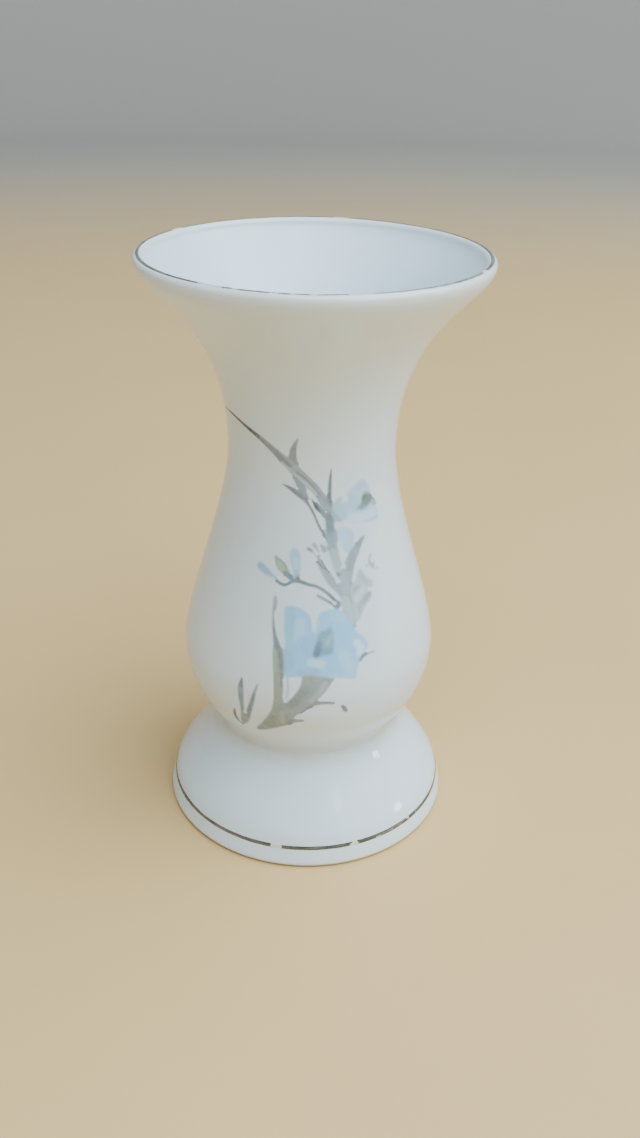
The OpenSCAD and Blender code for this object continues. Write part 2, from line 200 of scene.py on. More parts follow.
foot_out, foot_in = meridian("foot", 1), meridian("foot", -1)
wall_out, wall_in = meridian("vessel", 1), meridian("vessel", -1)
ring_inner = foot_in[0]
waist_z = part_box("vessel")[0].z
spray_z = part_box("ground_leaves")[0].z
skin_line = np.concatenate([
    [[ring_inner[0] + RING_EDGE, 0]], foot_out, wall_out[1:], wall_in[::-1][1:], [[0, wall_in[0][1]]],
])
skin_at, skin_place = spline(skin_line)
waist_at = skin_at[len(foot_out)]
top_at = skin_at[len(foot_out) + len(wall_out) - 1]

# The outside of the vase as a close row of places, from the table up to the lip
outside_s = np.linspace(skin_at[1], top_at, 2 * SAMPLES)
outside = skin_place(outside_s)
outside_d = np.gradient(outside, outside_s, axis=0)
outside_n = np.stack([outside_d[:, 1], -outside_d[:, 0]], 1)
outside_n /= np.linalg.norm(outside_n, axis=1)[:, None]


def wobble(angle, z):
    """How far the cast wall strays at a place, along its normal."""
    return WOBBLE * np.clip(z / WOBBLE_START, 0, 1) * (
        0.5 * np.sin(2 * angle + 0.7 + 9 * z) + 0.3 * np.sin(3 * angle - 1.1 + 31 * z)
        + 0.2 * np.sin(5 * angle + 2.3 - 57 * z)
    )


def spot(angle, r, z, nr, nz, lift):
    """Place at an angle round the vase from -y towards +x, moved along the outline's normal."""
    out = wobble(angle, z) + lift
    r, z = r + nr * out, z + nz * out
    return np.stack([r * np.sin(angle), -r * np.cos(angle), z], -1)


def on_skin(angle, z, lift=0.0):
    """Place on the outside of the vase, lifted off it."""
    r = np.interp(z, outside[:, 1], outside[:, 0])
    nr = np.interp(z, outside[:, 1], outside_n[:, 0])
    nz = np.interp(z, outside[:, 1], outside_n[:, 1])
    return spot(angle, r, z, nr, nz, lift)


# ---- Meshes ----

def new_piece(name, places, faces):
    """A new smooth object in the scene."""
    mesh = bpy.data.meshes.new(name)
    mesh.from_pydata(places.tolist(), [], faces)
    mesh.validate()
    mesh.shade_smooth()
    mesh.set_sharp_from_angle(angle=SHARP)
    piece = bpy.data.objects.new(name, mesh)
    bpy.context.scene.collection.objects.link(piece)
    return piece


def give(piece, name, values):
    """A number for each vertex, or a colour if there are three of them."""
    values = np.asarray(values, np.float32)
    if values.ndim == 1:
        piece.data.attributes.new(name, "FLOAT", "POINT").data.foreach_set("value", values)
    else:
        colours = np.concatenate([values, np.ones((len(values), 1), np.float32)], 1)
        piece.data.attributes.new(name, "FLOAT_COLOR", "POINT").data.foreach_set("color", colours.ravel())


def lathe(name, line, marks, closed):
    """Closed solid turned from an outline. marks names numbers that each point of the outline
    has. An end of the outline on the axis becomes one vertex; otherwise the ends join."""
    normal = np.stack([np.gradient(line[:, 1]), -np.gradient(line[:, 0])], 1)
    normal /= np.linalg.norm(normal, axis=1)[:, None] + 1e-12
    angle = np.arange(SEGMENTS) * 2 * math.pi / SEGMENTS
    places, rings, where = [], [], []
    count = 0
    for i, (r, z) in enumerate(line):
        if r < 1e-6:
            places.append([[0, 0, z]])
            rings.append([count] * SEGMENTS)
            count += 1
            where += [i]
        else:
            places.append(spot(angle, r, z, normal[i, 0], normal[i, 1], 0.0))
            rings.append(list(range(count, count + SEGMENTS)))
            count += SEGMENTS
            where += [i] * SEGMENTS
    order = list(zip(rings, rings[1:] + rings[:1])) if closed else list(zip(rings, rings[1:]))
    faces = []
    for low, high in order:
        for k in range(SEGMENTS):
            nxt = (k + 1) % SEGMENTS
            face = [low[k], low[nxt], high[nxt], high[k]]
            faces.append([v for j, v in enumerate(face) if v not in face[:j]])
    piece = new_piece(name, np.concatenate(places), faces)
    for mark, values in marks.items():
        give(piece, mark, np.asarray(values)[where])
    return piece


def near(values, middle, reach):
    """1 at the middle, falling smoothly to 0 at the reach."""
    t = np.clip(1 - np.abs(values - middle) / reach, 0, 1)
    return t * t * (3 - 2 * t)


def make_vessel():
    """The vessel, with its mouth, its inside and the faint washes round the flowers."""
    outer = skin_place(rings_along(skin_place, waist_at, top_at, OUTSIDE_STEP))
    inner = skin_place(rings_along(skin_place, top_at, skin_at[-1], INSIDE_STEP))
    inner[-1] = [0, inner[-1][1]]
    under = [[r, waist_z] for r in np.linspace(0, outer[0][0], UNDER_RINGS)[:-1]]
    line = np.concatenate([under, outer, inner[1:]])
    z = line[:, 1]
    within = np.arange(len(line)) >= len(under) + len(outer)
    marks = {
        # pool_shade: glaze pooling plus painted shade, at the crease outside and at the bottom inside
        "pool_shade": np.where(within, near(z, wall_in[0][1], BOTTOM_POOL_SHADE), near(z, waist_z, CREASE_POOL_SHADE)),
        "thin": near(z, z.max(), THIN),
        "bare": 0 * z,
        "dull": np.where(within, 1.0, 0.0),
    }
    piece = lathe("glazed_vessel", line, marks, False)
    wash, washed = washes_at(np.array([v.co for v in piece.data.vertices]))
    give(piece, "wash", wash)
    give(piece, "washed", washed)
    return piece


def make_foot():
    """The hollow foot, with the bare ring that it stands on, which is painted dark as contact shadow."""
    outer = skin_place(rings_along(skin_place, 0, waist_at, OUTSIDE_STEP))
    low = ring_inner + [0, RING_EDGE]
    inner_at, inner_place = spline(np.concatenate([foot_in[::-1][:-1], [low]]))
    inner = inner_place(rings_along(inner_place, 0, inner_at[-1], INSIDE_STEP))
    edge = [ring_inner + RING_EDGE * np.array([0.3, 0.3])]
    line = np.concatenate([outer, inner, edge])
    z = line[:, 1] = np.maximum(line[:, 1], 0)
    without = np.arange(len(line)) < len(outer)
    marks = {
        # the same painted shade on the foot's side of the crease
        "pool_shade": np.where(without, near(z, waist_z, CREASE_POOL_SHADE), 0),
        "thin": np.where(without, near(z, FOOT_EDGE, THIN), 0),
        # bare: the unglazed ring, which also carries the painted contact shadow
        "bare": np.where(without, near(z, 0, BARE_SHADOW_OUTSIDE), near(z, 0, BARE_SHADOW_INSIDE)),
        "dull": np.where(without, 0.0, 1.0),
    }
    return lathe("glazed_foot", line, marks, True)


# ---- Metal lines ----

def make_line(name, middle, width, seed, gaps):
    """Band of lustre round the vase on the parameter middle, thinnest at its edges."""
    angle = np.arange(LINE_TURNS) * 2 * math.pi / LINE_TURNS
    stray = sum(
        share * np.sin(turns * angle + seed * turns)
        for turns, share in ((3, 0.5), (7, 0.3), (17, 0.2), (41, 0.15))
    )
    shift = sum(
        share * np.sin(turns * angle + seed + turns)
        for turns, share in ((2, 0.3), (5, 0.2))
    )
    across = np.linspace(-1, 1, LINE_ROWS)
    lifts = LINE_CROWN * (1 - abs(across) ** 3) + LINE_EDGE
    across = np.concatenate([across, across[::-1]])
    lifts = np.concatenate([lifts, np.full(LINE_ROWS, -LINE_SINK)])
    step = 0.01 * MM
    places = []
    for t, lift in zip(across, lifts):
        s = middle + width / 2 * (t * (1 + LINE_STRAY * stray) + LINE_STRAY * shift)
        p = skin_place(s)
        d = (skin_place(s + step) - skin_place(s - step)) / (2 * step)
        places.append(spot(angle, p[:, 0], p[:, 1], d[:, 1], -d[:, 0], lift))
    rows = len(places)
    faces = []
    for i in range(rows):
        a, b = i * LINE_TURNS, (i + 1) % rows * LINE_TURNS
        for k in range(LINE_TURNS):
            nxt = (k + 1) % LINE_TURNS
            faces.append([a + k, a + nxt, b + nxt, b + k])
    piece = new_piece(name, np.concatenate(places), faces)
    rubbed_and_reflection = sum(
        much * near((np.degrees(angle) - at + 180) % 360, 180, half) for at, half, much in gaps
    )
    give(piece, "rubbed_and_reflection", np.tile(rubbed_and_reflection, rows))
    return piece


def parameter_at(z):
    """Parameter of the outside at a height."""
    return float(np.interp(z, outside[:, 1], outside_s))


# ---- Enamel ----

def border_edges(triangles):
    """The edges that only one of the triangles has, in its direction."""
    edges = {}
    for a, b, c in triangles:
        for edge in ((a, b), (b, c), (c, a)):
            if edge[::-1] in edges:
                del edges[edge[::-1]]
            else:
                edges[edge] = True
    return list(edges)


def film_outlines(node):
    """Closed outlines of a film, each a row of [angle, height], read from its outer face."""
    places, triangles = corners(node)
    radius = np.hypot(places[:, 0], places[:, 1])
    proud = radius - np.interp(places[:, 2], wall_out[:, 1], wall_out[:, 0])
    outer = proud > proud.max() / 2
    following = {}
    for a, b in border_edges(triangles[outer[triangles].all(1)]):
        following.setdefault(a, []).append(b)
    loops = []
    while following:
        start = next(iter(following))
        loop, here = [], start
        while here in following:
            loop.append(here)
            ends = following[here]
            nxt = ends.pop()
            if not ends:
                del following[here]
            here = nxt
        p = places[loop]
        loops.append(np.stack([np.arctan2(p[:, 0], -p[:, 1]), p[:, 2]], 1))
    return [row for row in loops if len(row) > 3]


def evened(loop, scale, step):
    """A closed outline with its corners a step apart and slightly rounded, in the flat chart
    [angle * scale, height]."""
    flat = loop * [scale, 1]
    closed = np.concatenate([flat, flat[:1]])
    at = np.concatenate([[0], np.cumsum(np.linalg.norm(np.diff(closed, axis=0), axis=1))])
    if at[-1] < 4 * step:
        return None
    n = max(8, int(at[-1] / step))
    s = np.arange(n) * at[-1] / n
    row = np.stack([np.interp(s, at, closed[:, i]) for i in range(2)], 1)
    for _ in range(2):
        row = 0.5 * row + 0.25 * (np.roll(row, 1, 0) + np.roll(row, -1, 0))
    return row


def inside(points, loops):
    """Whether each point is inside the outlines, holes left out."""
    found = np.zeros(len(points), bool)
    for loop in loops:
        a, b = loop, np.roll(loop, -1, 0)
        for (x0, y0), (x1, y1) in zip(a, b):
            if y0 == y1:
                continue
            crosses = (y0 > points[:, 1]) != (y1 > points[:, 1])
            x = (x1 - x0) * (points[:, 1] - y0) / (y1 - y0) + x0
            found ^= crosses & (points[:, 0] < x)
    return found


def tree_of(points):
    """The points in a tree that finds the nearest of them."""
    tree = kdtree.KDTree(len(points))
    for i, p in enumerate(points):
        tree.insert(p, i)
    tree.balance()
    return tree


def film_rows(node):
    """The chart's millimetres per radian at a film, and the film's evened outlines in it."""
    low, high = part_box(node)
    scale = float(np.interp((low.z + high.z) / 2, outside[:, 1], outside[:, 0]))
    rows = [evened(loop, scale, FILM_BORDER) for loop in film_outlines(node)]
    return scale, [row for row in rows if row is not None]


def moved_out(row, reach):
    """An outline in the chart moved outwards by the reach at each of its corners."""
    d = np.roll(row, -1, 0) - np.roll(row, 1, 0)
    out = np.stack([d[:, 1], -d[:, 0]], 1) / (np.linalg.norm(d, axis=1)[:, None] + 1e-12)
    for _ in range(3):
        reach = 0.5 * reach + 0.25 * (np.roll(reach, 1) + np.roll(reach, -1))
    return row + out * reach[:, None]


def triangulated(rows):
    """Vertices and triangles that fill outlines in the chart, on a grid of even triangles."""
    border = np.concatenate(rows)
    low, high = border.min(0), border.max(0)
    grid = []
    for k, y in enumerate(np.arange(low[1], high[1], FILM_ROW)):
        x = np.arange(low[0] + (k % 2) * FILM_GRID / 2, high[0], FILM_GRID)
        grid.append(np.stack([x, np.full(len(x), y)], 1))
    grid = np.concatenate(grid)
    grid = grid[inside(grid, rows)]
    tree = tree_of([(x, y, 0) for x, y in border])
    grid = [p for p in grid if tree.find((p[0], p[1], 0))[2] > FILM_CLEAR]
    points = np.concatenate([border, np.array(grid).reshape(-1, 2)])
    edges, start = [], 0
    for row in rows:
        edges += [(start + i, start + (i + 1) % len(row)) for i in range(len(row))]
        start += len(row)
    # The triangulator works in single precision, so it gets millimetres, and joins vertices that
    # are closer than the last but one value.
    co, _, faces, _, _, _ = geometry.delaunay_2d_cdt(
        [Vector(p / MM) for p in points], edges, [], 0, 1e-5, True)
    co = np.array(co, float) * MM
    faces = np.array([f for f in faces if len(f) == 3])
    faces = faces[inside(co[faces].mean(1), rows)]
    a, b, c = (co[faces[:, i]] for i in range(3))
    area = np.cross(b - a, c - a) / 2
    whole = np.abs(area) > SLIVER
    faces, area = faces[whole], area[whole]
    faces[area < 0] = faces[area < 0][:, ::-1]
    used = np.unique(faces)
    renumber = np.full(len(co), -1)
    renumber[used] = np.arange(len(used))
    return co[used], renumber[faces]


FILMS = {
    "long_leaf": "grey_leaf_enamel", "upper_leaves": "grey_leaf_enamel",
    "upper_stem": "grey_leaf_enamel", "upper_petals": "pale_blue_enamel",
    "upper_throat": "olive_enamel", "bud_stem": "grey_leaf_enamel",
    "blue_buds": "blue_enamel", "green_bud": "olive_enamel",
    "left_twigs": "pale_grey_enamel", "right_twigs": "pale_grey_enamel",
    "main_petals": "blue_enamel", "main_throat": "slate_blue_enamel",
    "tall_leaf": "olive_enamel", "lower_stem": "olive_enamel",
    "tendrils": "olive_enamel", "ground_leaves": "grey_leaf_enamel",
}


def linear(code):
    """Linear colour of a six-digit code."""
    part = np.array([int(code[i:i + 2], 16) for i in (0, 2, 4)]) / 255
    return np.where(part <= 0.04045, part / 12.92, ((part + 0.055) / 1.055) ** 2.4)


# Each film's own pigment, and the width in millimetres over which it fades out at a bare edge
PIGMENT = {
    "long_leaf": ("84898b", 0.4), "upper_leaves": ("6c7170", 0.5), "upper_stem": ("858e8c", 0.8),
    "upper_petals": ("a0c8e4", 1.3), "upper_throat": ("4d584a", 0.8), "bud_stem": ("575b57", 0.5),
    "blue_buds": ("8cbfe2", 1.0), "green_bud": ("8b9b78", 0.7), "left_twigs": ("868787", 0.6),
    "right_twigs": ("a9b1b2", 0.9), "main_petals": ("77bcef", 1.1), "main_throat": ("6390a3", 0.9),
    "tall_leaf": ("787f6a", 0.7), "lower_stem": ("75786a", 0.8), "tendrils": ("585b55", 0.6),
    "ground_leaves": ("73797d", 0.7),
}

# Brush marks on the films: colour, strength, softness in millimetres, and the places that the
# mark goes through as [degrees round the vase, millimetres above the lowest leaf, width].
# Without a colour the mark thins the enamel instead.
MARKS = {
    "long_leaf": [
        ("1b1918", 0.95, 0.9, [[-76, 91.6, 1], [-60, 91.8, 1], [-46, 90.4, 1], [-36, 88.4, 0.6]]),
        ("52544e", 0.7, 0.8, [[-36, 88.2, 0.6], [-25, 85.2, 0.8], [-14, 81.6, 0.6]]),
        (None, 0.45, 0.5, [[-19, 82.0, 0.2], [-10, 78.9, 0.2], [-3, 76.4, 0.3], [3, 73.6, 0.3]]),
        ("4a4e4c", 0.75, 0.35,
         [[-22, 82.9, 0.2], [-14, 80.2, 0.3], [-6, 77.5, 0.2], [0, 75, 0.2], [5, 72.6, 0.1]]),
        ("4a4e4c", 0.75, 0.35, [[-9, 79.6, 0.2], [-4, 78.2, 0.3], [1, 76, 0.2], [6, 73.2, 0.2]]),
        ("6a6e6c", 0.5, 0.7, [[2, 76.5, 0.4], [6, 74, 0.5], [10, 70.5, 0.5]]),
    ],
    "upper_leaves": [
        ("6a6e69", 0.6, 0.8, [[-11.4, 86, 0.8], [-11.6, 82.5, 0.9]]),
        ("777b7d", 0.8, 0.9, [[-8, 77.5, 1], [-5, 74.6, 1]]),
        ("4c4f4b", 0.9, 0.4, [[-3, 72.4, 0.3], [1, 69, 0.3], [6, 64.2, 0.3], [11, 60.2, 0.3]]),
        ("4d504c", 0.8, 0.6, [[-16, 75.4, 0.4], [-11, 74.2, 0.7], [-6, 72.8, 0.8]]),
        ("232523", 0.95, 0.6, [[0, 71.9, 0.3], [3.2, 70, 0.7], [5.5, 68.7, 0.4]]),
        ("4a4e4c", 0.8, 0.7, [[6.5, 68.6, 0.5], [9, 67.2, 0.5]]),
        ("434a48", 0.85, 0.8, [[12.7, 80.5, 0.3], [12.1, 77, 0.7], [11.8, 71, 0.8]]),
    ],
    "upper_stem": [
        ("52605c", 0.9, 0.9, [[11, 67.5, 0.8], [11.8, 64.5, 1.2], [12.2, 62.5, 1]]),
        ("4a5654", 0.9, 0.4, [[12.4, 67.8, 0.3], [13.6, 66.8, 0.3], [14.5, 66, 0.2]]),
        ("71827d", 0.8, 1.0, [[12.6, 62, 1.4], [12.8, 58.5, 1.2]]),
        ("a2b3a8", 0.7, 1.2, [[13.6, 57, 1.6], [15.6, 53, 1.4]]),
        ("9a9fa0", 0.6, 1.2, [[17.5, 50, 1.4], [19, 47, 1.8]]),
        ("a9bbb0", 0.8, 1.3, [[18.4, 43.8, 1.6], [20, 41, 1.8], [21, 38, 1]]),
        ("6f7a78", 0.8, 1.0, [[29, 58.2, 1.2], [25, 55.6, 1.4], [22, 52.6, 1.2]]),
        ("66726f", 0.85, 0.8, [[33.6, 60.2, 0.4], [31, 59.3, 0.9], [29.6, 58.4, 0.7]]),
        ("3f3a3e", 0.95, 0.35, [[4, 55.2, 0.3], [8, 53.2, 0.3], [12, 51.8, 0.3]]),
        ("8b8d8a", 0.7, 0.9, [[8, 52.2, 0.8], [12, 49, 1], [15, 46.8, 0.8]]),
        ("5f6262", 0.9, 0.6, [[15.4, 51.3, 0.6], [16, 51.2, 0.4]]),
    ],
    "upper_petals": [
        ("95bccc", 0.9, 1.6, [[15.5, 70, 1.5], [18.5, 69, 2], [19, 66, 1.5]]),
        ("86a5b2", 0.6, 0.9, [[17, 72, 0.5], [20, 72.3, 0.5]]),
        ("799ca4", 0.8, 0.9, [[14.6, 67.8, 0.5], [17, 66.2, 0.7], [19.6, 65.4, 0.4]]),
        ("91bcd7", 0.7, 1.8, [[24, 71, 2], [28, 70, 2]]),
        ("a3b4ce", 0.8, 1.6, [[31, 74.8, 1.4], [35, 75.6, 1.2], [39, 74.6, 0.8]]),
        ("c7e1f9", 0.9, 1.5, [[26, 66, 1.2], [34, 65.6, 1.2], [42, 66, 0.8]]),
        ("9db2bf", 0.7, 0.8, [[36, 64, 0.5], [41, 64.1, 0.6], [45, 64.2, 0.4]]),
        ("adcff0", 0.7, 1.5, [[18.4, 62.6, 1], [20.5, 60.5, 1.2]]),
        ("a7c1d6", 0.7, 1.2, [[24.4, 61.5, 0.8], [24.6, 59.4, 0.8], [21.5, 57.6, 0.8]]),
    ],
    "upper_throat": [
        ("596f7e", 0.95, 0.9, [[29.6, 68.2, 0.6], [33, 68.3, 0.8], [36.5, 68, 0.5]]),
        ("394738", 0.95, 1.0, [[34.8, 70.8, 0.9], [37.5, 70.8, 1.1], [40.6, 70.2, 0.7]]),
        ("8e9280", 0.85, 0.8, [[42.6, 69.2, 0.6], [45.6, 68.2, 0.4]]),
        ("7b8484", 0.7, 0.7, [[35.5, 72.3, 0.4], [38, 72.4, 0.3]]),
    ],
    "bud_stem": [
        ("4a5350", 0.8, 0.6, [[-18, 49, 0.4], [-14, 48.2, 0.7], [-11, 48.8, 0.5]]),
        ("535b5c", 0.6, 0.6, [[-6, 49.6, 0.6], [-1, 48.8, 0.6]]),
        ("60645b", 0.8, 0.7, [[3, 48.2, 0.5], [9, 46.2, 0.6], [15, 42.6, 0.6]]),
        ("838782", 0.7, 0.6, [[4, 45.9, 0.5], [9, 44.2, 0.5]]),
        ("4f616b", 0.7, 0.6, [[-9, 49.8, 0.3], [-12, 51, 0.6]]),
    ],
    "blue_buds": [
        ("849fb0", 0.9, 1.3, [[-29, 52.6, 1], [-25, 51.4, 1.4], [-21.5, 50.4, 0.8]]),
        ("9ab2be", 0.7, 0.9, [[-20, 50.2, 0.4], [-17.5, 49.6, 0.3]]),
        ("8fb1c4", 0.8, 1.0, [[-6.4, 50.6, 0.6], [-7, 52.6, 0.6]]),
        ("b4daec", 0.6, 0.9, [[-7.6, 55, 0.8], [-7.4, 53.4, 0.4]]),
        ("99bfd2", 0.6, 0.8, [[-10.4, 57.4, 0.3], [-10.2, 55, 0.3]]),
    ],
    "green_bud": [
        ("69756a", 0.8, 0.55, [[-19.8, 55.8, 0.3], [-16, 55, 0.3], [-12.6, 53.2, 0.3]]),
        ("93a36f", 0.7, 0.8, [[-16, 53.6, 0.8], [-14.6, 52.8, 0.6]]),
        ("4e5c60", 0.85, 0.7, [[-13.2, 51.8, 0.4], [-11.2, 50.8, 0.5]]),
    ],
    "left_twigs": [
        ("6d6b70", 0.8, 0.5, [[-1.4, 58.6, 0.5], [0.4, 58.2, 0.4]]),
        ("999a9b", 0.7, 0.8, [[1.8, 60, 0.6], [3.6, 58.8, 0.6]]),
        ("5a5558", 0.85, 0.35, [[6, 56.4, 0.2], [8.5, 53.8, 0.3], [11, 52.2, 0.2]]),
    ],
    "right_twigs": [
        ("8d9496", 0.85, 0.8, [[24, 46.4, 0.7], [26, 46.9, 0.5]]),
        ("7f8886", 0.9, 0.9, [[33, 44.9, 0.5], [30.8, 43.8, 0.9], [28, 42.4, 0.4]]),
        ("8b9794", 0.8, 0.9, [[26.5, 42.5, 0.7], [26, 40.5, 0.5]]),
        (None, 0.45, 1.2, [[24.8, 43.8, 0.8], [29, 46.2, 0.8]]),
        ("9aa0a0", 0.6, 0.9, [[28.4, 50, 0.8], [31.5, 47.8, 0.8]]),
        ("8f8e8c", 0.8, 0.5, [[35.4, 53, 0.5], [36, 51.8, 0.5], [39, 50.8, 0.4]]),
    ],
    "main_petals": [
        ("73bed5", 0.85, 1.7, [[-11, 41, 1], [-10.6, 36, 1.4], [-9.6, 32, 1.2]]),
        ("7fb7d5", 0.6, 1.2, [[-7.6, 40, 0.8], [-7, 34, 0.6]]),
        ("90b0d8", 0.7, 0.8, [[-11, 42.3, 0.6], [-6, 42.4, 0.8], [-2, 41.2, 0.5]]),
        ("80b0d9", 0.75, 1.0, [[0.6, 40, 0.5], [1.9, 37.5, 0.5], [1.6, 34, 0.8]]),
        ("9fd2f3", 0.8, 1.5, [[-4, 38.5, 1], [-4.6, 34, 1.4]]),
        ("73a8e5", 0.75, 2.0, [[-3, 33.4, 1], [-0.6, 31.8, 1.6], [1, 29.8, 1]]),
        ("7dc0d9", 0.85, 1.5, [[-8, 31.4, 1], [-5.8, 30.4, 1]]),
        ("bbeefe", 0.95, 1.2, [[2.8, 41, 0.6], [3, 38, 0.4], [2.9, 36.4, 0.1]]),
        ("90bddb", 0.7, 1.2, [[5.4, 39, 0.8], [5, 36.6, 0.6]]),
        ("96cff0", 0.6, 1.6, [[12, 40, 1], [16, 39, 1]]),
        ("acdffe", 0.95, 1.5, [[1.4, 27.3, 0.7], [5.6, 26.8, 1]]),
        ("7ea2cf", 0.75, 1.4, [[-3.4, 24.2, 0.6], [0.6, 24.5, 1.3], [3.6, 24.6, 0.6]]),
        ("74aed9", 0.8, 1.8, [[-9, 29, 1], [-8.6, 25.6, 1]]),
        ("a4d6f3", 0.6, 1.8, [[16, 29, 1.4], [18, 25, 1.4]]),
        ("8bc3df", 0.6, 1.3, [[13.4, 35, 0.8], [13, 31, 0.8]]),
        ("c9ecfb", 0.9, 1.4, [[22.8, 31.6, 0.8], [24.4, 30, 0.8], [23.6, 28.6, 0.5]]),
        ("aac3d1", 0.85, 0.8, [[25.4, 33.6, 0.3], [27.6, 31.4, 0.5], [28.4, 30.2, 0.3]]),
        ("8fc3e1", 0.6, 1.0, [[11, 22.8, 0.5], [16, 22.3, 0.5], [20.5, 21.6, 0.5]]),
        ("9cc0e1", 0.5, 1.0, [[21, 26.5, 0.6], [20.6, 22.5, 0.6]]),
    ],
    "main_throat": [
        ("425d70", 1.0, 1.1, [[3, 29.2, 1], [4.2, 30.4, 1.3], [4.8, 32.6, 0.8]]),
        ("497f92", 0.8, 0.9, [[7, 30.4, 0.8], [10.6, 30.4, 0.9]]),
        ("58808d", 0.8, 0.9, [[9.6, 36, 0.5], [6.4, 34.8, 0.8], [4.4, 33.6, 0.5]]),
        ("85aab6", 0.7, 0.8, [[10.6, 34.4, 0.4], [8.6, 32.6, 0.4]]),
    ],
    "tall_leaf": [
        ("8c8796", 0.95, 0.7, [[-17.4, 44.7, 0.6], [-17, 42.6, 1]]),
        ("7a8384", 0.85, 0.7, [[-17.6, 40.4, 0.5], [-17, 37.5, 0.6]]),
        ("5f6668", 0.85, 0.8, [[-16.3, 35.4, 0.4], [-15.2, 33, 0.6], [-14.4, 31, 0.5]]),
        ("869660", 0.85, 0.9, [[-15.6, 29.5, 0.5], [-14.8, 26, 0.6], [-14.6, 22, 0.3]]),
        ("555846", 0.75, 0.8, [[-13.6, 31, 0.4], [-12.2, 28, 0.5], [-11.4, 24, 0.3], [-11.2, 20, 0.1]]),
        ("837653", 0.7, 0.9, [[-13.4, 23, 0.8], [-12.9, 18, 0.9], [-12.6, 14, 0.8]]),
        ("9a9877", 0.7, 0.6, [[-15.2, 19, 0.3], [-14.8, 14, 0.3]]),
        ("a7b9d0", 1.0, 0.5, [[-9.5, 22.8, 0.8], [-8.7, 20, 1], [-9, 16, 0.8]]),
    ],
    "lower_stem": [
        ("797f59", 0.8, 1.2, [[-1.6, 23.6, 0.6], [-0.8, 21.4, 0.8]]),
        ("7a8a62", 0.7, 1.1, [[2, 23.6, 0.6], [5.6, 23, 0.8]]),
        ("749496", 0.9, 0.9, [[8.4, 23.4, 0.5], [11.4, 23.4, 0.5]]),
        ("909484", 0.8, 1.1, [[7.5, 21, 0.6], [5.4, 18.4, 0.6], [1.6, 15.6, 0.4]]),
        ("626350", 0.7, 1.5, [[-0.6, 19, 0.8], [-3.6, 16.5, 1], [-6.6, 14, 1]]),
        ("6f755a", 0.7, 1.5, [[-13, 13, 1.2], [-13.4, 9.6, 1.2]]),
        ("5d634c", 0.6, 1.4, [[-14.6, 8, 1], [-18, 4.6, 0.8]]),
        ("6b6761", 0.7, 1.2, [[-7, 8, 0.8], [-11, 5.4, 0.8], [-16, 3.8, 0.6]]),
        ("686858", 0.8, 1.0, [[-24.4, 0.9, 0.6], [-21, 2.6, 0.6]]),
        (None, 0.15, 1.0, [[-11, 10.6, 0.4], [-10.6, 6.6, 0.4]]),
    ],
    "tendrils": [
        ("545850", 0.8, 0.7, [[-3.5, 11.4, 1], [0, 13.4, 0.9]]),
        ("777976", 0.7, 0.7, [[3, 14.4, 0.8], [11.6, 14.4, 0.6]]),
        ("4f5662", 0.9, 0.6, [[15.2, 13, 0.4], [16.4, 11.8, 0.7]]),
        ("817f7f", 0.8, 0.8, [[-5, 7.6, 0.7], [-1.4, 8.1, 0.7]]),
        ("9c9fa0", 0.7, 0.6, [[28, 27.8, 0.3], [32, 27.7, 0.3]]),
    ],
    "ground_leaves": [
        ("3f3f48", 0.9, 0.8, [[-34.8, 6.5, 0.4], [-35.3, 4, 0.8], [-34.8, 2, 0.5]]),
        ("424952", 0.7, 0.7, [[-29.6, 19.6, 0.4], [-30, 17, 0.8]]),
        ("5e6b73", 0.7, 0.8, [[-30.4, 13, 0.7], [-30.2, 8, 0.5]]),
        ("50565c", 0.7, 0.7, [[-23.6, 15, 0.5], [-25.6, 10, 0.7], [-27.6, 6, 0.7]]),
        ("6e6d75", 0.8, 0.8, [[-31, 3, 0.8], [-32.8, 0.6, 0.6]]),
        ("7d898f", 0.6, 0.6, [[-22, 18.8, 0.3], [-22.8, 16.6, 0.4]]),
    ],
}

# Faint tints that run out on to the glaze round the flowers, in the same form
WASHES = [
    ("a9bdb0", 0.30, 3.0, [[13, 62, 1], [12.5, 57, 1.6], [15, 53, 1]]),
    ("b5dff0", 0.35, 2.0, [[-2, 42.6, 0.4], [4, 41, 0.8], [8, 42, 0.4]]),
    ("b9d9e6", 0.25, 2.6, [[-14, 40, 0.5], [-13.4, 30, 0.5]]),
    ("bcdbe9", 0.30, 3.0, [[22, 76, 0.6], [30, 78, 0.8], [38, 78, 0.4]]),
    ("c3dff0", 0.35, 3.0, [[30, 61.6, 1.2], [40, 61.6, 1]]),
    ("b9d0b4", 0.22, 2.4, [[12, 48.6, 0.6], [4, 50.5, 0.5]]),
    ("c4d6dd", 0.25, 3.0, [[28, 44, 1], [32, 48, 1]]),
    ("d2e6ea", 0.35, 2.4, [[25, 28, 0.8], [27, 26, 0.6]]),
]

# How clear the enamels are in red, green and blue: the glaze shines through them
CLEAR = np.array([0.72, 0.68, 0.60])
WHITE = "e4eaee"             # code of a coat that leaves the glaze as it is
FAINT = "d8e6ea"             # code of the glaze round the flowers, where no wash reaches


def pigment(code):
    """Linear colour of a clear enamel over the glaze, for the six-digit code of a thick coat."""
    return GLAZE * (linear(code) / linear(WHITE)) ** CLEAR


def brush(points):
    """A mark's places on the vase, close enough to follow its round, each with its width."""
    points = np.array(points, float)
    at = np.arange(len(points))
    steps = max(2, int(np.ptp(points[:, 0]) / 3) + len(points))
    fine = np.stack([np.interp(np.linspace(0, at[-1], steps), at, points[:, i]) for i in range(3)], 1)
    places = on_skin(np.radians(fine[:, 0]), spray_z + fine[:, 1] * MM)
    return np.concatenate([places, fine[:, 2:] * MM / 2], 1)


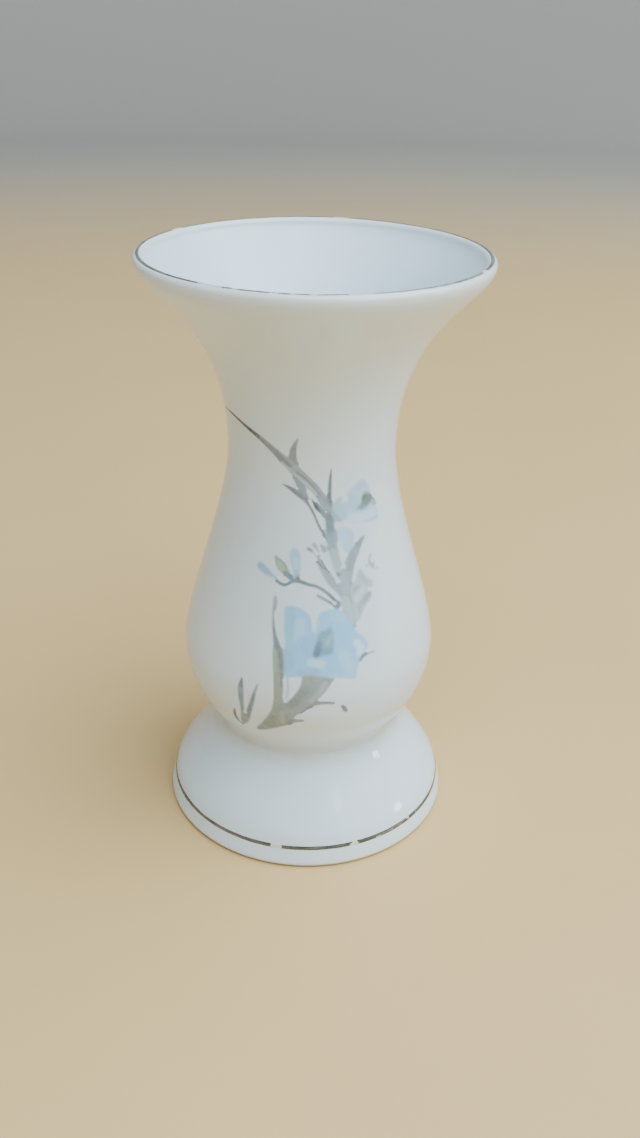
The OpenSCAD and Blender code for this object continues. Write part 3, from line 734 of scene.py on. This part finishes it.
def touched(places, strength, soft, points):
    """How strongly a mark covers each place."""
    line = brush(points)
    cover = np.zeros(len(places))
    for a, b in zip(line, line[1:]):
        step = b[:3] - a[:3]
        t = np.clip((places - a[:3]) @ step / (step @ step + 1e-15), 0, 1)
        gap = np.linalg.norm(places - a[:3] - t[:, None] * step, axis=1) - a[3] - t * (b[3] - a[3])
        cover = np.maximum(cover, np.clip(1 - gap / (soft * MM), 0, 1))
    return strength * cover * cover * (3 - 2 * cover)


def washes_at(places):
    """Colour and strength of the faint tints at each place."""
    colour, share = np.tile(pigment(FAINT), (len(places), 1)), np.zeros(len(places))
    for code, strength, soft, points in WASHES:
        cover = touched(places, strength, soft, points)
        part = (cover / np.maximum(share + cover, 1e-9))[:, None]
        colour = colour * (1 - part) + pigment(code) * part
        share = 1 - (1 - share) * (1 - cover)
    return colour, share


def lay_out_films():
    """Every film's flat mesh, and the places along the films' bare edges."""
    films = {}
    for node in FILMS:
        scale, rows = film_rows(node)
        border = [on_skin(row[:, 0] / scale, row[:, 1]) for row in rows]
        films[node] = {"scale": scale, "rows": rows, "border": border}
    borders = [(node, p) for node, film in films.items() for places in film["border"] for p in places]
    tree = tree_of([p for _, p in borders])
    bare = []
    for node, film in films.items():
        most = min(OUTSET, PIGMENT[node][1] * MM / 2)
        moved = []
        for row, places in zip(film["rows"], film["border"]):
            others = [[gap for _, i, gap in tree.find_range(p, 2 * OUTSET) if borders[i][0] != node]
                      for p in places]
            free = np.array([min(gaps, default=2 * OUTSET) for gaps in others])
            row = moved_out(row, np.minimum(free * GAP_SHARE, most))
            moved.append(row)
            at = on_skin(row[:, 0] / film["scale"], row[:, 1])
            bare += [p for p, gap in zip(at, free) if gap >= CLOSE]
        flat, film["faces"] = triangulated(moved)
        film["flat"] = flat / [film["scale"], 1]
        film["at"] = on_skin(film["flat"][:, 0], film["flat"][:, 1])
        strangers = tree_of([p for other, p in borders if other != node])
        film["to_others"] = [strangers.find(p)[2] for p in film["at"]]
    return films, bare


def paint_films():
    """Builds every film's flat mesh and gives its vertices their pigment."""
    films, bare = lay_out_films()
    bare_tree = tree_of(bare)
    for node, film in films.items():
        code, soft = PIGMENT[node]
        film["off"] = np.array([bare_tree.find(p)[2] for p in film["at"]])
        t = np.clip(film["off"] / (soft * MM), 0, 1)
        film["opacity"] = t * t * (3 - 2 * t)
        film["colour"] = np.tile(pigment(code), (len(t), 1))
        for colour, *mark in MARKS[node]:
            cover = touched(film["at"], *mark)
            if colour is None:
                film["opacity"] = film["opacity"] * (1 - cover)
            else:
                cover = cover[:, None]
                film["colour"] = film["colour"] * (1 - cover) + pigment(colour) * cover
    run_together(films)
    return films


def run_together(films):
    """Lets the colours of films that touch run into each other."""
    places = np.concatenate([film["at"] for film in films.values()])
    colours = np.concatenate([film["colour"] for film in films.values()])
    tree = tree_of(places)
    for film in films.values():
        for i in [i for i, gap in enumerate(film["to_others"]) if gap < BLEED]:
            found = tree.find_range(film["at"][i], BLEED)
            share = np.array([1 - gap / BLEED for _, _, gap in found]) + 1e-6
            film["colour"][i] = share @ colours[[k for _, k, _ in found]] / share.sum()


def make_film(node, film):
    """Closed thin solid of a film, with the numbers and colours that its material reads."""
    t = np.clip(film["off"] / FILM_SLOPE, 0, 1)
    lift = FILM_EDGE + (FILM - FILM_EDGE) * t * t * (3 - 2 * t)
    top = on_skin(film["flat"][:, 0], film["flat"][:, 1], lift)
    n = len(top)
    faces = film["faces"].tolist()
    walls = [[b, a, a + n, b + n] for a, b in border_edges(faces)]
    under = [[v + n for v in reversed(f)] for f in faces]
    piece = new_piece(node + "_enamel", np.concatenate([top, film["at"]]), faces + walls + under)
    wash, washed = washes_at(film["at"])
    for name, values in (("pigment", film["colour"]), ("opacity", film["opacity"]),
                         ("wash", wash), ("washed", washed)):
        give(piece, name, np.concatenate([values, values]))
    for name in ("pool_shade", "thin"):
        give(piece, name, np.zeros(2 * n))
    return piece


# ---- Materials ----

class Nodes:
    """A material's node tree, with short calls to fill it."""

    def __init__(self, name):
        self.material = bpy.data.materials.new(name)
        self.material.use_nodes = True
        self.tree = self.material.node_tree
        self.shader = self.tree.nodes["Principled BSDF"]
        self.place = self.add("ShaderNodeTexCoord").outputs["Object"]

    def add(self, kind, **values):
        node = self.tree.nodes.new(kind)
        for name, value in values.items():
            setattr(node, name, value)
        return node

    def put(self, socket, value):
        """Links the socket to another one, or sets its value."""
        if isinstance(value, bpy.types.NodeSocket):
            self.tree.links.new(value, socket)
        elif socket.type == "RGBA":
            socket.default_value = (*value, 1)
        else:
            socket.default_value = value

    def noise(self, per_metre, detail=2.0, roughness=0.5, stretch=(1, 1, 1)):
        move = self.add("ShaderNodeMapping")
        self.put(move.inputs["Vector"], self.place)
        self.put(move.inputs["Scale"], stretch)
        node = self.add("ShaderNodeTexNoise")
        self.put(node.inputs["Vector"], move.outputs["Vector"])
        self.put(node.inputs["Scale"], per_metre)
        self.put(node.inputs["Detail"], detail)
        self.put(node.inputs["Roughness"], roughness)
        return node.outputs["Fac"]

    def ramp(self, value, low, high, to_low=0.0, to_high=1.0):
        node = self.add("ShaderNodeMapRange", interpolation_type="SMOOTHSTEP")
        for name, number in (("Value", value), ("From Min", low), ("From Max", high),
                             ("To Min", to_low), ("To Max", to_high)):
            self.put(node.inputs[name], number)
        return node.outputs["Result"]

    def math(self, operation, a, b):
        node = self.add("ShaderNodeMath", operation=operation)
        self.put(node.inputs[0], a)
        self.put(node.inputs[1], b)
        return node.outputs["Value"]

    def mix(self, share, a, b):
        """Colour between a and b. The node has its colour sockets after those for numbers."""
        node = self.add("ShaderNodeMix", data_type="RGBA")
        self.put(node.inputs["Factor"], share)
        self.put(node.inputs[6], a)
        self.put(node.inputs[7], b)
        return node.outputs[2]

    def attribute(self, name, output="Fac"):
        return self.add("ShaderNodeAttribute", attribute_name=name).outputs[output]

    def bump(self, height, strength, distance):
        node = self.add("ShaderNodeBump")
        self.put(node.inputs["Height"], height)
        self.put(node.inputs["Strength"], strength)
        self.put(node.inputs["Distance"], distance)
        self.put(self.shader.inputs["Normal"], node.outputs["Normal"])

    def set(self, **values):
        """Sets inputs of the shader by name, with _ for a space."""
        for name, value in values.items():
            self.put(self.shader.inputs[name.replace("_", " ")], value)


def glaze_colour(n):
    """Colour of the glazed body: cooler and darker where the glaze pools, darkest as painted shade in the
    crease and at the bottom inside, warmer where it runs thin.
    """
    cloud = n.ramp(n.noise(28, 3), 0.35, 0.65)
    colour = n.mix(cloud, tuple(0.975 * c for c in GLAZE), GLAZE)
    # painted shade: the pooled glaze is darkened towards the crease and the bottom inside
    pooled_shade = n.math("MULTIPLY", n.attribute("pool_shade"), n.ramp(n.noise(160, 2), 0.2, 0.8, 0.35, 0.7))
    colour = n.mix(pooled_shade, colour, GLAZE_POOL_SHADE)
    colour = n.mix(n.math("MULTIPLY", n.attribute("thin"), 0.7), colour, GLAZE_THIN)
    return n.mix(n.attribute("washed"), colour, n.attribute("wash", "Color"))


def glaze_height(n):
    """Slow swell of the glaze and its finer orange peel, in millimetres."""
    swell = n.math("MULTIPLY", n.noise(70, 1), 0.6)
    return n.math("ADD", swell, n.math("MULTIPLY", n.noise(520, 2), 0.06))


def porcelain():
    """Glazed porcelain, bare and dry on the ring that the vase stands on, and painted dark there as
    contact shadow.
    """
    n = Nodes("glazed_porcelain")
    bare = n.attribute("bare")
    # painted contact shadow: the bare ring takes a dark colour
    shadow_grit = n.mix(n.ramp(n.noise(2600, 2), 0.4, 0.7), BISCUIT_CONTACT_SHADOW, tuple(0.8 * c for c in BISCUIT_CONTACT_SHADOW))
    n.set(Base_Color=n.mix(bare, glaze_colour(n), shadow_grit))
    dry = n.math("ADD", n.math("MULTIPLY", bare, 0.6), n.math("MULTIPLY", n.attribute("dull"), 0.28))
    n.set(Roughness=n.math("ADD", dry, n.ramp(n.noise(90, 3), 0.3, 0.7, 0.07, 0.12)))
    n.set(IOR=1.5)
    n.bump(glaze_height(n), 0.25, MM)
    return n.material


def enamel(name, rough):
    """Enamel that lets the glaze show through where its pigment is thin."""
    n = Nodes(name)
    grain = n.ramp(n.noise(1400, 3, 0.6), 0.3, 0.75, 0.94, 1.0)
    wash = n.ramp(n.noise(380, 3, 0.6), 0.25, 0.7, 0.91, 1.0)
    opacity = n.math("MULTIPLY", n.attribute("opacity"), n.math("MULTIPLY", grain, wash))
    n.set(Base_Color=n.mix(opacity, glaze_colour(n), n.attribute("pigment", "Color")))
    n.set(Roughness=n.math("ADD", n.math("MULTIPLY", opacity, rough), 0.12))
    n.set(IOR=1.5)
    n.bump(glaze_height(n), 0.25, MM)
    return n.material


def lustre(name, dark, light, rough):
    """Platinum lustre, streaked along the line and worn through to the glaze in places; some of the gaps
    are painted reflections.
    """
    n = Nodes(name)
    streak = n.ramp(n.noise(900, 3, 0.6, (0.15, 0.15, 1)), 0.3, 0.75)
    # real wear from the noise, plus the listed gaps, some of which are painted reflections
    worn_and_reflection = n.ramp(n.math("ADD", n.noise(330, 4, 0.65), n.math("MULTIPLY", n.attribute("rubbed_and_reflection"), 0.3)),
                  0.66, 0.74)
    metal = n.mix(streak, dark, light)
    n.set(Base_Color=n.mix(worn_and_reflection, metal, WORN_AND_REFLECTION))
    n.set(Metallic=n.math("SUBTRACT", 1.0, worn_and_reflection))
    n.set(Roughness=n.ramp(n.noise(700, 2), 0.3, 0.7, rough, rough + 0.15))
    return n.material


def wear(piece, material, node):
    """Gives a piece its material, hides the node of the CAD model that it stands for, and attaches it to
    the body.
    """
    piece.data.materials.clear()
    piece.data.materials.append(material)
    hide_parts(node)
    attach(piece, BODY)


# ---- The vase ----

china = porcelain()
wear(make_vessel(), china, "vessel")
wear(make_foot(), china, "foot")
wear(make_line("rim_lustre", top_at, RIM_LINE, 1.3, RIM_GAPS),
     lustre("rim_lustre", *RIM_METAL, 0.4), "rim_line")
line_low, line_high = (parameter_at(corner.z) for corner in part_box("foot_line"))
# the foot line's dark slate colour is a painted reflection
wear(make_line("foot_lustre", (line_low + line_high) / 2, line_high - line_low, 4.1, FOOT_GAPS),
     lustre("foot_lustre", *FOOT_METAL_AND_DARK_REFLECTION, 0.2), "foot_line")

films = paint_films()
finishes = {slot: enamel(slot, 0.10) for slot in sorted(set(FILMS.values()))}
for node, slot in FILMS.items():
    wear(make_film(node, films[node]), finishes[slot], node)


# ---- Floor, light and camera ----

STAGE = 1.7                  # radius of the flat part of the floor
STAGE_BEND = 0.5             # radius of the bend between floor and backdrop
STAGE_TOP = 1.3              # height of the backdrop
FLOOR_END = 0.6              # the floor's colour begins to change this far from the vase
BACKDROP_START = 1.7         # and is the backdrop's from here on

SKY = (0.64, 0.83, 1.0)
SKY_STRENGTH = 0.14
LIT = Vector((0, 0, 0.08))   # the place that the lights face
# Each light's name, place, size, watts and colour. The window is small and makes the glints.
LIGHTS = [
    ("overhead", (0.72, -0.38, 1.5), (2.2, 2.0), 80, (0.79, 0.925, 1.0)),
    ("window", (1.28, -0.25, 0.15), (0.15, 0.13), 1.3, (0.95, 0.98, 1.0)),
    ("front", (-0.9, -0.9, 1.2), (1.5, 1.5), 5, (0.80, 0.92, 1.0)),
]

CAMERA_DISTANCE = 1.6519     # in front of the axis, as a share of the vase's height
CAMERA_HEIGHT = 1.3478       # above the floor, as the same share
CAMERA_PITCH = 0.4964        # downwards, in radians
CAMERA_YAW = 0.0110          # towards +x
CAMERA_ROLL = 0.0231
CAMERA_LENS = 33.96          # in millimetres, for a sensor 36 mm high


def make_floor():
    """Round floor that bends up into a low backdrop all round."""
    turns = [math.radians(a) for a in range(0, 91, 6)]
    line = [[0, 0], [STAGE / 2, 0]]
    line += [[STAGE + STAGE_BEND * math.sin(a), STAGE_BEND * (1 - math.cos(a))] for a in turns]
    line.append([STAGE + STAGE_BEND, STAGE_TOP])
    floor = lathe("floor", np.array(line), {}, False)
    n = Nodes("floor")
    cloud = n.ramp(n.noise(9, 3), 0.3, 0.7)
    far = n.add("ShaderNodeVectorMath", operation="LENGTH")
    n.put(far.inputs[0], n.place)
    near_colour = n.mix(cloud, FLOOR, tuple(0.97 * c for c in FLOOR))
    away = n.ramp(far.outputs["Value"], FLOOR_END, BACKDROP_START)
    n.set(Base_Color=n.mix(away, near_colour, BACKDROP), Roughness=0.5)
    floor.data.materials.append(n.material)


def soft_light(name, place, size, watts, colour):
    """A rectangular light that faces the vase."""
    data = bpy.data.lights.new(name, "AREA")
    data.shape = "RECTANGLE"
    data.size, data.size_y = size
    data.energy = watts
    data.color = colour
    light = bpy.data.objects.new(name, data)
    light.location = place
    light.rotation_euler = (LIT - Vector(place)).to_track_quat("-Z", "Y").to_euler()
    bpy.context.scene.collection.objects.link(light)


def make_world():
    """A pale, even sky."""
    world = bpy.data.worlds.new("studio")
    world.use_nodes = True
    back = world.node_tree.nodes["Background"]
    back.inputs["Color"].default_value = (*SKY, 1)
    back.inputs["Strength"].default_value = SKY_STRENGTH
    bpy.context.scene.world = world


def make_camera():
    """The camera of the photo, turned by its yaw, then its pitch, then its roll."""
    height = CAD_BOX[1].z - CAD_BOX[0].z
    data = bpy.data.cameras.new("camera")
    data.lens = CAMERA_LENS
    data.sensor_width = 36
    data.clip_start = 0.01
    camera = bpy.data.objects.new("camera", data)
    forward = Vector((
        math.sin(CAMERA_YAW) * math.cos(CAMERA_PITCH),
        math.cos(CAMERA_YAW) * math.cos(CAMERA_PITCH), -math.sin(CAMERA_PITCH)))
    level = Vector((math.cos(CAMERA_YAW), -math.sin(CAMERA_YAW), 0))
    upward = level.cross(forward)
    right = math.cos(CAMERA_ROLL) * level + math.sin(CAMERA_ROLL) * upward
    up = math.cos(CAMERA_ROLL) * upward - math.sin(CAMERA_ROLL) * level
    turn = Matrix((right, up, -forward)).transposed().to_4x4()
    camera.matrix_world = Matrix.Translation((0, -CAMERA_DISTANCE * height, CAMERA_HEIGHT * height)) @ turn
    bpy.context.scene.collection.objects.link(camera)
    bpy.context.scene.camera = camera


make_floor()
make_world()
for light in LIGHTS:
    soft_light(*light)
make_camera()
